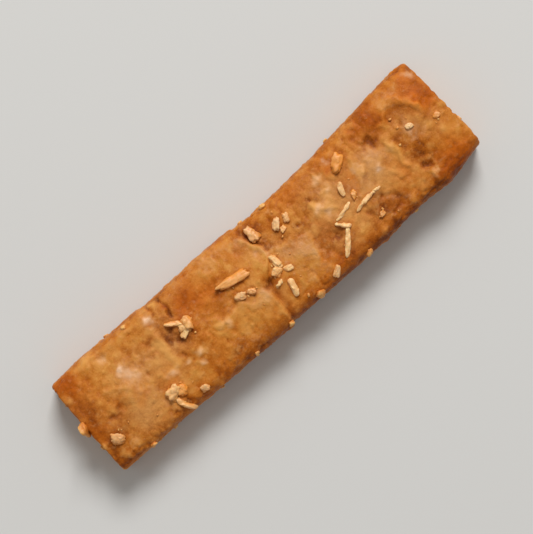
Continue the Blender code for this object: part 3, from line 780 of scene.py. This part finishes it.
def how_baked_and_shaded(points, normals, fine, marks):
    """How baked each point is, with painted shade and painted highlight in it: by noise, by named areas,
    spots and lines, and by relief and place. It is darker in pits, creases and along the lower side as
    painted shade, and paler on raised relief as painted highlight.
    """
    x, y, z = points.T
    on_top = smooth_step(*FACES_UP, normals[:, 2])
    on_end = smooth_step(*FACES_END, np.abs(normals[:, 0]))
    bake_and_shade = BAKE_BASE + waves(points, BAKE_NOISE)
    # Browner named areas and spots, with painted shade in the pits and under the toppings
    bake_and_shade += on_top * (AREA_BAKE * spots(*marks, BAKE_AREAS) + SPOT_BAKE * spots(*marks, DARK_AND_SHADED_SPOTS))
    # Painted shade in the creases and painted highlight on the rims
    bake_and_shade += on_top * lines(*marks, SHADE_AND_HIGHLIGHT_LINES)
    # Painted shade on the lower side, away from the lamp
    bake_and_shade += rising(-y, *LOWER_SIDE_SHADE) + rising(y, *UPPER_SIDE)
    bake_and_shade += on_top * (rising(-y, *LOWER_EDGE_SHADE) + rising(-x, *LEFT_END))
    # Painted highlight on raised relief and painted shade in hollows
    bake_and_shade -= (HEIGHT_SHADING + END_HEIGHT_SHADING * on_end) * fine
    ahead = ahead_of_flap(x, y)
    # Painted shade in the crease and hollow in front of the flap
    for place, half_width, amount in FLAP_CREASE_SHADE:
        bake_and_shade += on_top * groove_strength(y) * amount * np.exp(-(((ahead - place) / half_width) ** 2))
    rims = smooth_step(*BASE_RIM, z) + smooth_step(*TOP_RIM, z / THICKNESS)
    bake_and_shade += (1 - on_top) * (RIM_BAKE * rims + SIDE_BAKE)
    return bake_and_shade + BASE_BAKE * smooth_step(*FACES_DOWN, -normals[:, 2])


def crust_masks(points, normals, fine, marks):
    """How baked (with painted shade), pale, pink with painted sheen, rusty (with a painted shade tint on
    the lower edge), tan and like the inside each point of the crust is, from 0 to 1.
    """
    _, y, z = points.T
    on_top = smooth_step(*FACES_UP, normals[:, 2])
    on_end = smooth_step(*FACES_END, np.abs(normals[:, 0]))
    bake_and_shade = how_baked_and_shaded(points, normals, fine, marks)
    lit = 1 - smooth_step(*LIT_BELOW, bake_and_shade)
    # Rust, with a painted shade tint along the lower edge
    rust_and_shade = on_top * (spots(*marks, RUST_SPOTS) + rising(-y, *LOWER_EDGE_SHADE_TINT))
    rust_and_shade += patches(points, *RUST_PATCHES)
    plain = 1 - RUST_HIDES * np.clip(rust_and_shade, 0, 1)
    pale = on_top * spots(*marks, PALE_SPOTS) + plain * patches(points, *PALE_PATCHES)
    # Painted sheen: pink highlights and haze
    painted_sheen = on_top * spots(*marks, PAINTED_SHEEN_SPOTS) + plain * patches(points, *PAINTED_SHEEN_PATCHES)
    tan = on_top * plain * spots(*marks, TAN_AREAS) + plain * patches(points, *TAN_PATCHES)
    below_top = smooth_step(0.0, INSIDE_FADE, THICKNESS * INSIDE_TOP - z)
    masks = {
        "bake_and_shade": bake_and_shade,
        "pale": pale * lit,
        "painted_sheen": painted_sheen * lit,
        "rust_and_shade": rust_and_shade,
        "tan": tan * (TAN_WHERE_DARK + (1 - TAN_WHERE_DARK) * lit),
        "inside": on_end * smooth_step(*INSIDE_FROM, z) * below_top,
    }
    return {name: np.clip(values, 0, 1) for name, values in masks.items()}


def named_relief(points, marks):
    """The relief that has its own place, next to that of the solid."""
    x, y, _ = points.T
    relief = valley_relief(x, y) + slab_relief(*marks) + arc_relief(*marks)
    return relief + MM * (lines(*marks, RIDGES) + NAMED_GAIN * spots(*marks, SMALL_BLISTERS))


def fine_relief(points, normals):
    """Bumps, grains, pores, wrinkles and the layers of the cut ends, none of which sinks the base."""
    draw = np.random.default_rng(SCATTER_SEED)
    everywhere = np.arange(len(points))
    ends = everywhere[np.abs(normals[:, 0]) > END_PORES_FACE]
    relief = scattered(points, everywhere, BUMPS, draw) + scattered(points, everywhere, GRAINS, draw)
    relief += scattered(points, everywhere, PORES, draw)
    relief += wrinkle_relief(points) + ROUGHNESS * wave(points, ROUGHNESS_SIZE)
    on_end = smooth_step(*LAYERS_FACE, np.abs(normals[:, 0]))
    layers = points * (1.0, 1 / LAYER_STRETCH, 1.0)
    relief += on_end * LAYERS * wave(layers + LAYER_PLACE, LAYER_SIZE)
    relief += scattered(points, ends, END_PORES, draw)
    flat_base = smooth_step(*BASE_FLATTENS, normals[:, 2])
    return np.where(flat_base > 0, np.minimum(relief, (1 - flat_base) * np.abs(relief)), relief)


def build_crust():
    """The bar of dough as one fine mesh. Returns it, and the smooth surface that the toppings lie on."""
    box = fine_box()
    mesh = bpy.data.meshes.new("crust")
    box.to_mesh(mesh)
    box.free()
    points = np.empty(len(mesh.vertices) * 3, np.float32)
    mesh.vertices.foreach_get("co", points)
    points = shaped(rounded(points.reshape(-1, 3).astype(float)))
    put_points(mesh, points)
    normals = vertex_normals(mesh)
    x, y, z = points.T
    main = flap_relief(x, y) + fold_relief(x, y) + MM * spots(x, y, BLISTERS)
    sets_in = smooth_step(*RELIEF_FROM, z)
    points = points + normals * (sets_in * main)[:, None]
    put_points(mesh, points)
    crust = bpy.data.objects.new("crust", mesh)
    bpy.context.scene.collection.objects.link(crust)
    bpy.context.view_layer.update()
    surface = BVHTree.FromObject(crust, bpy.context.evaluated_depsgraph_get())
    marks = wandered(points)
    named = sets_in * named_relief(points, marks)
    fine = fine_relief(points, normals)
    contact = smooth_step(*FACES_UP, normals[:, 2]) * near_toppings(*marks)
    # Relief heights lighten ridges and darken hollows in the colour, as painted highlight and shade
    masks = crust_masks(points, normals, fine + NAMED_HEIGHT_SHADING * named, marks)
    # Painted shade on the crust round the toppings
    masks["bake_and_shade"] = np.clip(masks["bake_and_shade"] + CONTACT_SHADE * contact, 0, 1)
    points = points + normals * (fine + named + CONTACT_RISE * contact)[:, None]
    points[:, 2] = np.maximum(points[:, 2], 0)
    put_points(mesh, points)
    for name, values in masks.items():
        put_attribute(mesh, name, values)
    mesh.shade_smooth()
    return crust, surface


def landing(surface, guess, turn, lift):
    """Where a topping lies: on the crust nearest to the guess, turned about its normal and lifted."""
    place, normal, _, _ = surface.find_nearest(guess)
    upright = Vector((0, 0, 1)).rotation_difference(normal).to_matrix().to_4x4()
    return Matrix.Translation(place + normal * lift) @ upright @ Matrix.Rotation(turn, 4, "Z")


def top_guess(along, across):
    return Vector((along * MM, across * MM, THICKNESS))


def heights_below(surface, along, across, flat):
    """Heights of the crust below a shred's middle, evened out."""
    heights = []
    for place in flat:
        spot = Vector(((along + place.x) * MM, (across + place.y) * MM, 2 * THICKNESS))
        hit = surface.ray_cast(spot, Vector((0, 0, -1)))[0]
        heights.append(hit.z if hit else THICKNESS * SHRED_PAST_BAR)
    window = 2 * SHRED_SMOOTHED + 1
    padded = np.pad(heights, SHRED_SMOOTHED, mode="edge")
    return np.convolve(padded, np.full(window, 1 / window), mode="valid")


def rounded_square(angle, twist):
    """A point of a shred's flattened section, turned by the shred's twist."""
    out_y = math.copysign(abs(math.cos(angle)) ** SHRED_SQUARENESS, math.cos(angle))
    out_z = math.copysign(abs(math.sin(angle)) ** SHRED_SQUARENESS, math.sin(angle)) * TOPPING_DEPTH
    return (
        out_y * math.cos(twist) - out_z * math.sin(twist),
        out_y * math.sin(twist) + out_z * math.cos(twist),
    )


def shred_ring(shape, middle, side, width, twist, warmth, number):
    """One ring of a shred's torn skin, round a point of its middle."""
    layer = shape.verts.layers.float["warmth"]
    ring = []
    for k in range(SHRED_AROUND):
        out_y, out_z = rounded_square(2 * math.pi * k / SHRED_AROUND, twist)
        place = middle + side * (out_y * width / 2)
        place.z += out_z * width / 2
        uneven = noise.noise(place / SHRED_LUMPS + Vector((number, 0, 0)))
        uneven += SHRED_GRAIN_SHARE * noise.noise(place / SHRED_GRAIN + Vector((0, number, 0)))
        place += (place - middle) * SHRED_UNEVEN * uneven
        vertex = shape.verts.new(place)
        # Painted highlight on the top of the shred, painted shade under it
        vertex[layer] = warmth - PAINTED_HEIGHT_SHADING * out_z / 2
        ring.append(vertex)
    return ring


def add_shred(shape, surface, along, across, length, width, turn, bend, warmth, number):
    """A grated shred that follows the crust below it and thins towards its ends."""
    direction = Matrix.Rotation(math.radians(turn), 2)
    shares = np.linspace(-1, 1, SHRED_STEPS + 1)
    flat = [direction @ Vector((s * length / 2, bend * length * s * s)) for s in shares]
    heights = heights_below(surface, along, across, flat)
    rings = []
    for i, s in enumerate(shares):
        run = flat[min(i + 1, SHRED_STEPS)] - flat[max(i - 1, 0)]
        side = Vector((-run.y, run.x, 0)).normalized()
        thin = SHRED_TIP
        if abs(s) < 1:
            thin = (1 - SHRED_THIN * s * s) * (1 - abs(s) ** SHRED_BLUNT) ** 0.5
        middle = Vector(((along + flat[i].x) * MM, (across + flat[i].y) * MM, heights[i]))
        middle.z += SHRED_LIFT * width * MM
        noise_place = Vector((s * length / SHRED_TWIST_LENGTH, number * SHRED_APART, 0.5))
        twist = SHRED_TWIST / width**2 * noise.noise(noise_place)
        rings.append(shred_ring(shape, middle, side, width * MM * thin, twist, warmth, number))
    for ring, following in zip(rings, rings[1:]):
        for k in range(SHRED_AROUND):
            following_k = (k + 1) % SHRED_AROUND
            shape.faces.new((ring[k], ring[following_k], following[following_k], following[k]))
    shape.faces.new(rings[0][::-1])
    shape.faces.new(rings[-1])


def chip_sides(draw):
    """The flat sides of a chip, as normals over their distances: a loose box, cut by random planes."""
    sides = [np.array(side) / draw.uniform(*BOX_REACH) for side in BOX_SIDES]
    for _ in range(CHIP_PLANES):
        normal = np.array([draw.gauss(0, 1) for _ in range(3)])
        sides.append(normal / np.linalg.norm(normal) / draw.uniform(*PLANE_REACH))
    return np.array(sides)


def add_chip(shape, matrix, size, fineness, sharpness, warmth, draw):
    """A lump, seed or crumb: a ball pressed to flat sides, with edges as sharp as sharpness is high."""
    layer = shape.verts.layers.float["warmth"]
    made = bmesh.ops.create_icosphere(shape, subdivisions=fineness, radius=1.0)["verts"]
    outward = np.array([vertex.co for vertex in made])
    pressed = np.maximum(outward @ chip_sides(draw).T, 0)
    reach = 0.5 / (pressed**sharpness).sum(axis=1) ** (1 / sharpness)
    shift = Vector([draw.uniform(0, CHIP_NOISE_REACH) for _ in range(3)])
    for vertex, way, far in zip(made, outward, reach):
        uneven = 1 + CHIP_UNEVEN * noise.noise(Vector(way) * CHIP_UNEVEN_FINENESS + shift)
        uneven += CHIP_CRUMPLED * noise.noise(Vector(way) * CHIP_CRUMPLED_FINENESS + shift)
        place = Vector(way * far * uneven)
        vertex.co = Vector((place.x * size[0], place.y * size[1], place.z * size[2]))
        # Painted highlight on the chip's top, painted shade on its lower part
        vertex[layer] = warmth + PAINTED_HEIGHT_SHADING * (PAINTED_SHADING_MIDDLE - place.z)
    bmesh.ops.transform(shape, matrix=matrix, verts=made)


def new_shape():
    shape = bmesh.new()
    shape.verts.layers.float.new("warmth")
    return shape


def piece_from(shape, name, material):
    bmesh.ops.recalc_face_normals(shape, faces=shape.faces[:])
    mesh = bpy.data.meshes.new(name)
    shape.to_mesh(mesh)
    shape.free()
    mesh.shade_smooth()
    mesh.materials.append(material)
    piece = bpy.data.objects.new(name, mesh)
    bpy.context.scene.collection.objects.link(piece)
    return piece


def add_chips(shape, surface, table, sharpness):
    """The seeds or lumps of a table."""
    draw = random.Random(TOPPING_SEED)
    for along, across, length, width, turn, warmth in table:
        lift = SEED_LIFT * width * MM
        matrix = landing(surface, top_guess(along, across), math.radians(turn), lift)
        size = (length * MM, width * MM, width * TOPPING_DEPTH * MM)
        add_chip(shape, matrix, size, CHIP_FINENESS, sharpness, warmth, draw)


def build_cheese(surface, material):
    """The grated shreds and the lumps of melted cheese."""
    shape = new_shape()
    for number, (along, across, length, width, turn, bend, warmth) in enumerate(SHREDS):
        add_shred(shape, surface, along, across, length, width, turn, bend, warmth, number)
    add_chips(shape, surface, LUMPS, LUMP_SHARPNESS)
    return piece_from(shape, "cheese", material)


def build_seeds(surface, material):
    shape = new_shape()
    add_chips(shape, surface, SEEDS, SEED_SHARPNESS)
    return piece_from(shape, "seeds", material)


def build_crumbs(surface, material):
    """The crumbs on the edges and sides, and the fine ones strewn over the top."""
    draw = random.Random(TOPPING_SEED)
    shape = new_shape()
    for along, across, height, size in EDGE_CRUMBS:
        guess = Vector((along, across, height)) * MM
        matrix = landing(surface, guess, draw.uniform(0, math.pi), SEED_LIFT * size * MM)
        flat = CRUMB_FLATNESS * size * MM
        sizes = (size * MM, flat, flat * TOPPING_DEPTH)
        warmth = draw.uniform(*CRUMB_WARMTH)
        add_chip(shape, matrix, sizes, CRUMB_FINENESS, CRUMB_SHARPNESS, warmth, draw)
    draw = random.Random(FINE_SEED)
    toppings = SHREDS + SEEDS + LUMPS
    for _ in range(FINE_CRUMBS):
        near_along, near_across = draw.choice(toppings)[:2]
        along = draw.gauss(near_along, FINE_CRUMB_SPREAD)
        across = float(np.clip(draw.gauss(near_across, FINE_CRUMB_SPREAD), *FINE_CRUMB_SPAN))
        size = draw.uniform(*FINE_CRUMB_SIZE)
        turn = draw.uniform(0, math.pi)
        matrix = landing(surface, top_guess(along, across), turn, FINE_CRUMB_LIFT * size)
        sizes = (size, size * draw.uniform(*FINE_CRUMB_WIDTH), size * FINE_CRUMB_HEIGHT)
        warmth = draw.uniform(*FINE_CRUMB_WARMTH)
        add_chip(shape, matrix, sizes, FINE_CRUMB_FINENESS, CRUMB_SHARPNESS, warmth, draw)
    return piece_from(shape, "crumbs", material)


def new_material(name):
    material = bpy.data.materials.new(name)
    material.use_nodes = True
    return material, material.node_tree, material.node_tree.nodes["Principled BSDF"]


def add_node(tree, kind, settings=(), inputs=()):
    """A node with its settings by name and its inputs by name or number: a value, or a socket to link."""
    node = tree.nodes.new(kind)
    for name, value in dict(settings).items():
        setattr(node, name, value)
    for key, value in dict(inputs).items():
        if isinstance(value, bpy.types.NodeSocket):
            tree.links.new(value, node.inputs[key])
        else:
            node.inputs[key].default_value = value
    return node


def attribute(tree, name):
    return add_node(tree, "ShaderNodeAttribute", {"attribute_name": name}).outputs["Fac"]


def texture(tree, size, detail, roughness):
    """Noise from 0 to 1 in the object's own space, with bumps of about the given size."""
    place = add_node(tree, "ShaderNodeTexCoord").outputs["Object"]
    inputs = {"Vector": place, "Scale": 1 / size, "Detail": detail, "Roughness": roughness}
    return add_node(tree, "ShaderNodeTexNoise", inputs=inputs).outputs["Fac"]


def spread(tree, value, low, high, to_low, to_high):
    inputs = {"Value": value, "From Min": low, "From Max": high, "To Min": to_low, "To Max": to_high}
    return add_node(tree, "ShaderNodeMapRange", inputs=inputs).outputs["Result"]


def pattern(tree, look):
    """A texture, spread over its range."""
    bumps, values = look
    return spread(tree, texture(tree, *bumps), *values)


def calculated(tree, operation, first, second):
    return add_node(tree, "ShaderNodeMath", {"operation": operation}, {0: first, 1: second}).outputs[0]


def as_colour(value):
    """A socket as it is, and a display colour as the shader takes it."""
    return value if isinstance(value, bpy.types.NodeSocket) else srgb(*value)


def mixed(tree, share, first, second):
    """A colour between two."""
    inputs = {"Factor": share, 6: as_colour(first), 7: as_colour(second)}
    return add_node(tree, "ShaderNodeMix", {"data_type": "RGBA"}, inputs).outputs[2]


def tinted(tree, colour, name, share, tint):
    """The colour, with a tint over it where one of the crust's masks is high."""
    return mixed(tree, calculated(tree, "MULTIPLY", attribute(tree, name), share), colour, tint)


def ramp(tree, value, stops):
    node = add_node(tree, "ShaderNodeValToRGB", inputs={"Fac": value})
    elements = node.color_ramp.elements
    while len(elements) < len(stops):
        elements.new(0.5)
    for element, (place, colour) in zip(elements, stops):
        element.position = place
        element.color = srgb(*colour)
    return node.outputs["Color"]


def add_bump(tree, shader, height, strength, distance):
    inputs = {"Height": height, "Strength": strength, "Distance": distance}
    bump = add_node(tree, "ShaderNodeBump", inputs=inputs)
    tree.links.new(bump.outputs["Normal"], shader.inputs["Normal"])


def crust_material():
    """Baked, slightly oily crust: colours by how baked it is, with painted shade, pale and rusty patches,
    and pink patches that are painted sheen and glints.
    """
    material, tree, shader = new_material("baked_crust")
    bake_and_shade = calculated(tree, "ADD", pattern(tree, MOTTLE), pattern(tree, SPECKLE))
    bake_and_shade = calculated(tree, "ADD", attribute(tree, "bake_and_shade"), bake_and_shade)
    colour = ramp(tree, bake_and_shade, BAKED_COLOURS)
    colour = mixed(tree, pattern(tree, FLECKS), colour, FLECK_COLOUR)
    colour = tinted(tree, colour, "tan", TAN_SHARE, mixed(tree, bake_and_shade, *TAN_COLOURS))
    colour = tinted(tree, colour, "rust_and_shade", RUST_SHARE, mixed(tree, bake_and_shade, *RUST_COLOURS))
    breaks = pattern(tree, BREAKS)
    pale = spread(tree, calculated(tree, "ADD", attribute(tree, "pale"), breaks), *PALE_RANGE)
    colour = mixed(tree, pale, colour, PALE_COLOUR)
    # Painted sheen and glints, in pink and whitish colour
    painted_sheen = spread(tree, calculated(tree, "ADD", attribute(tree, "painted_sheen"), breaks), *PAINTED_SHEEN_RANGE)
    colour = mixed(tree, painted_sheen, colour, mixed(tree, painted_sheen, *PAINTED_SHEEN_COLOURS))
    colour = tinted(tree, colour, "inside", INSIDE_SHARE, mixed(tree, bake_and_shade, *INSIDE_COLOURS))
    tree.links.new(colour, shader.inputs["Base Color"])
    tree.links.new(pattern(tree, GLOSS), shader.inputs["Roughness"])
    tree.links.new(spread(tree, painted_sheen, *SHEEN_SPECULAR), shader.inputs["Specular IOR Level"])
    skin = calculated(tree, "ADD", texture(tree, *SKIN), texture(tree, *COARSE_SKIN))
    add_bump(tree, shader, skin, *CRUST_BUMP)
    return material


def topping_material(name, cool, warm, deep, roughness):
    """Baked cheese or seed: a colour by warmth, which also holds painted highlight on the tops and
    painted shade low down, with deeper patches.
    """
    material, tree, shader = new_material(name)
    colour = mixed(tree, attribute(tree, "warmth"), cool, warm)
    colour = mixed(tree, pattern(tree, DEEP_PATCHES), colour, deep)
    tree.links.new(colour, shader.inputs["Base Color"])
    shader.inputs["Roughness"].default_value = roughness
    for socket, value in TOPPING_GLOW.items():
        shader.inputs[socket].default_value = value
    add_bump(tree, shader, texture(tree, *TOPPING_SKIN), *TOPPING_BUMP)
    return material


def build_camera():
    """A camera that looks straight down, turned so that the bar lies as photographed."""
    data = bpy.data.cameras.new("camera")
    data.lens = LENS
    data.sensor_width = SENSOR
    camera = bpy.data.objects.new("camera", data)
    camera.location = (0, 0, THICKNESS + VIEW_WIDTH * LENS / SENSOR)
    camera.rotation_euler = (0, 0, -BAR_TURN)
    bpy.context.scene.collection.objects.link(camera)
    bpy.context.scene.camera = camera


def build_lamp():
    """A square lamp that shines on the bar from the photograph's upper side."""
    data = bpy.data.lights.new("key", "AREA")
    data.shape = "SQUARE"
    data.size = LAMP_SIZE
    data.energy = LAMP_POWER
    lamp = bpy.data.objects.new("key", data)
    photo_up = Vector((math.sin(BAR_TURN), math.cos(BAR_TURN), 0)).normalized()
    place = photo_up * math.cos(LAMP_ELEVATION) + Vector((0, 0, math.sin(LAMP_ELEVATION)))
    lamp.location = place * LAMP_DISTANCE
    lamp.rotation_euler = place.to_track_quat("Z", "Y").to_euler()
    bpy.context.scene.collection.objects.link(lamp)


def build_stage():
    """A plain pale floor under a soft sky."""
    bpy.ops.mesh.primitive_plane_add(size=FLOOR_SIZE)
    floor = bpy.context.object
    floor.name = "floor"
    material, _, shader = new_material("floor")
    shader.inputs["Base Color"].default_value = srgb(*FLOOR_COLOUR)
    shader.inputs["Roughness"].default_value = FLOOR_ROUGHNESS
    floor.data.materials.append(material)
    world = bpy.data.worlds.new("studio")
    world.use_nodes = True
    background = world.node_tree.nodes["Background"]
    background.inputs["Color"].default_value = SKY_COLOUR
    background.inputs["Strength"].default_value = SKY_STRENGTH
    bpy.context.scene.world = world
    bpy.context.scene.view_settings.view_transform = "Standard"


def write_sizes():
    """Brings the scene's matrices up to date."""
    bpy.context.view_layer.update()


def main():
    build_camera()
    build_stage()
    build_lamp()
    crust, surface = build_crust()
    crust.data.materials.append(crust_material())
    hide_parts("breadstick")
    cheese = build_cheese(surface, topping_material("baked_cheese", *CHEESE_LOOK))
    seeds = build_seeds(surface, topping_material("seed_skin", *SEED_LOOK))
    crumbs = build_crumbs(surface, topping_material("crumb_skin", *CRUMB_LOOK))
    for piece in (crust, cheese, seeds, crumbs):
        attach(piece, "root")
    write_sizes()


main()
